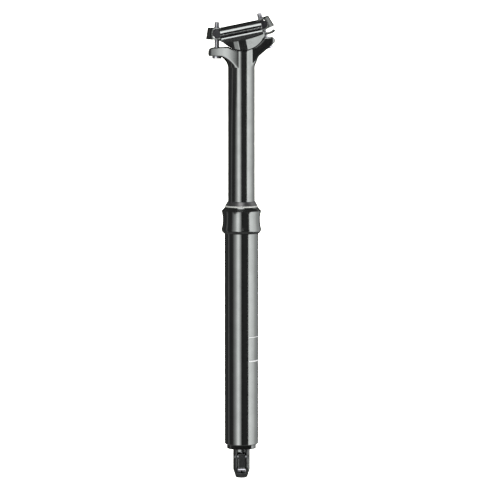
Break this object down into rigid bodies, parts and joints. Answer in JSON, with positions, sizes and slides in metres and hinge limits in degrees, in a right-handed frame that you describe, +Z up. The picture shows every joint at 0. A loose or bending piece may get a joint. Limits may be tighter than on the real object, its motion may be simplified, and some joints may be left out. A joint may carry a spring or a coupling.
{
  "type": "dropper seatpost",
  "caption": "Height-adjustable bicycle seatpost: sliding inner post with gas cartridge, screwed collar, cable release lever and two-bolt saddle clamp.",
  "frame": {"origin": "centre of the outer tube's bottom face", "axes": "+Z up along the tube, +X to the rear of the bicycle, +Y to the bicycle's right side seen from the saddle"},
  "size_m": [0.0636, 0.0552, 0.4283],
  "materials": {
    "gloss_black": "black anodised aluminium, polished before anodising",
    "post_black": "black anodised aluminium sliding tube and forged head",
    "clamp_black": "black anodised forged aluminium",
    "machined_alu": "clear machined aluminium",
    "steel": "zinc plated steel",
    "nut_steel": "black oxide steel",
    "chrome_rod": "hard chromed steel rod",
    "brass": "brass",
    "bushing_plastic": "low-friction plastic",
    "seal_rubber": "nitrile rubber",
    "wiper_black": "polyurethane wiper",
    "ring_grey": "light grey plastic ring",
    "bumper_rubber": "polyurethane bumper"
  },
  "bodies": {
    "lower_post": {"outer_tube": "gloss_black", "collar": "gloss_black", "collar_o_ring": "seal_rubber", "upper_bushing": "bushing_plastic", "bushing_snap_ring": "steel", "wiper_seal": "wiper_black", "wiper_ring": "ring_grey", "bottom_plug": "gloss_black", "plug_o_ring": "seal_rubber", "ring_nut": "machined_alu", "piston_rod": "chrome_rod", "piston": "machined_alu", "piston_ring": "bushing_plastic", "piston_nut": "steel", "bottom_out_bumper": "bumper_rubber", "actuator_housing": "clamp_black", "housing_grub_screw": "steel", "lever_pin": "steel"},
    "upper_post_body": {"upper_post": "post_black", "lower_bushing": "bushing_plastic", "guide_keys": "brass", "cartridge_body": "machined_alu", "cartridge_cap": "machined_alu", "cap_o_ring": "seal_rubber", "gas_fill_screw": "steel", "rod_guide": "machined_alu", "rod_seal": "seal_rubber", "guide_o_ring": "seal_rubber", "cartridge_retainer": "machined_alu", "top_out_bumper": "bumper_rubber"},
    "gas_divider": {"floating_piston": "machined_alu", "floating_piston_ring": "bushing_plastic"},
    "lever": {"actuator_lever": "clamp_black"},
    "barrel": {"cable_barrel": "steel", "cable_set_screw": "steel"},
    "valve": {"release_pin": "steel", "valve_poppet": "steel"},
    "saddle_clamp": {"lower_cradle": "clamp_black", "upper_clamp": "clamp_black"},
    "front_bolt_body": {"front_bolt": "steel", "front_washer": "steel"},
    "front_nut_body": {"front_nut": "nut_steel"},
    "rear_bolt_body": {"rear_bolt": "steel", "rear_washer": "steel"},
    "rear_nut_body": {"rear_nut": "nut_steel"}
  },
  "joints": [
    {"name": "post_slide", "type": "slide", "parent": "lower_post", "child": "upper_post_body", "axis": [0, 0, 1], "range_m": [-0.12, 0], "stiffness_N_per_m": 600, "springref_m": 0.35},
    {"name": "gas_divider_slide", "type": "slide", "parent": "upper_post_body", "child": "gas_divider", "axis": [0, 0, 1], "range_m": [0, 0.0345]},
    {"name": "lever_swing", "type": "hinge", "parent": "lower_post", "child": "lever", "pos_m": [0, -0.0042, -0.0116], "axis": [1, 0, 0], "range_deg": [0, 18], "stiffness_Nm_per_rad": 0.05, "springref_deg": -11.46},
    {"name": "barrel_turn", "type": "hinge", "parent": "lever", "child": "barrel", "pos_m": [0, -0.0044, -0.0241], "axis": [1, 0, 0], "range_deg": [-18.5, 0]},
    {"name": "release_pin_slide", "type": "slide", "parent": "lower_post", "child": "valve", "axis": [0, 0, 1], "range_m": [0, 0.0013]},
    {"name": "saddle_tilt", "type": "hinge", "parent": "upper_post_body", "child": "saddle_clamp", "pos_m": [0, 0, 0.3865], "axis": [0, 1, 0], "range_deg": [-10, 3]},
    {"name": "front_bolt_swing", "type": "hinge", "parent": "upper_post_body", "child": "front_bolt_body", "pos_m": [-0.0224, 0, 0.3565], "axis": [0, 1, 0], "range_deg": [-2, 6]},
    {"name": "front_nut_slide", "type": "slide", "parent": "front_bolt_body", "child": "front_nut_body", "axis": [0, 0, 1], "range_m": [-0.0038, 0.0012]},
    {"name": "rear_bolt_swing", "type": "hinge", "parent": "upper_post_body", "child": "rear_bolt_body", "pos_m": [0.02457, 0, 0.36567], "axis": [0, 1, 0], "range_deg": [-1, 2]},
    {"name": "rear_nut_slide", "type": "slide", "parent": "rear_bolt_body", "child": "rear_nut_body", "axis": [-0.2672, 0, 0.9636], "range_m": [-0.001, 0.0033]}
  ],
  "couplings": [
    {"joint": "gas_divider_slide", "follows": "post_slide", "ratio": -0.2844},
    {"joint": "lever_swing", "follows": "release_pin_slide", "rad_per_m": 238},
    {"joint": "barrel_turn", "follows": "release_pin_slide", "rad_per_m": -238},
    {"joint": "front_bolt_swing", "follows": "saddle_tilt", "ratio": -0.5386},
    {"joint": "front_nut_slide", "follows": "saddle_tilt", "m_per_rad": 0.0213},
    {"joint": "rear_bolt_swing", "follows": "saddle_tilt", "ratio": -0.18046},
    {"joint": "rear_nut_slide", "follows": "saddle_tilt", "m_per_rad": -0.01834}
  ]
}
